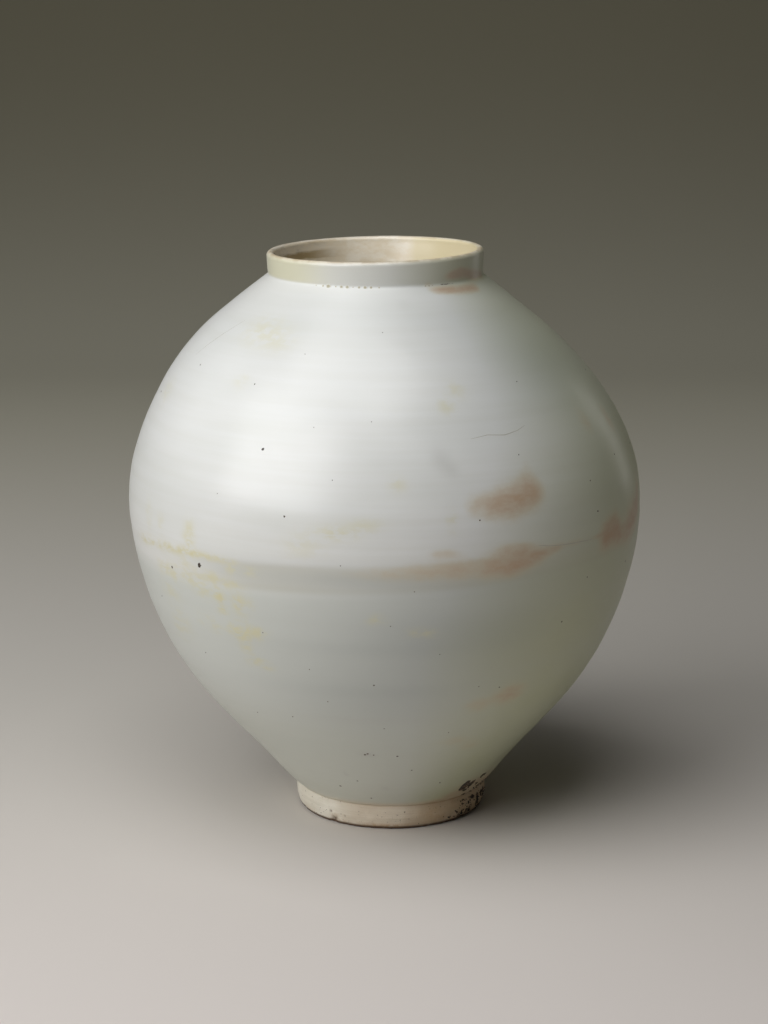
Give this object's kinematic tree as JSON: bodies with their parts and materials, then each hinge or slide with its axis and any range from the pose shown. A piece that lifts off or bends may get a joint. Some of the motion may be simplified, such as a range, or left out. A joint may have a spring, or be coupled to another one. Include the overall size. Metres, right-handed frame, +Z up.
{
  "type": "moon jar",
  "caption": "White porcelain moon jar: a round, slightly leaning body of joined bowls, with a short open collar and a bare turned foot ring.",
  "frame": {"origin": "centre of the jar's overall box in x and y, at the level that its foot stands on", "axes": "+Z up, +X to the viewer's right in the picture, -Y towards the viewer"},
  "size_m": [0.3311, 0.331, 0.3698],
  "materials": {
    "porcelain_clay": "fired, unglazed, fine",
    "luting_slip": "fired, unglazed, fine",
    "bare_foot": "fired, unglazed, matt",
    "white_glaze": "milky white glaze, glossy",
    "lining_glaze": "cream glaze, stained, glossy",
    "kiln_grit": "fused sand, rough"
  },
  "bodies": {
    "root": {"lower_bowl": "porcelain_clay", "upper_bowl": "porcelain_clay", "mouth_collar": "porcelain_clay", "waist_slip": "luting_slip", "collar_slip": "luting_slip", "foot_slip": "luting_slip", "foot_ring": "bare_foot", "outer_glaze": "white_glaze", "inner_glaze": "lining_glaze", "base_glaze": "white_glaze", "kiln_grit": "kiln_grit"}
  },
  "joints": []
}
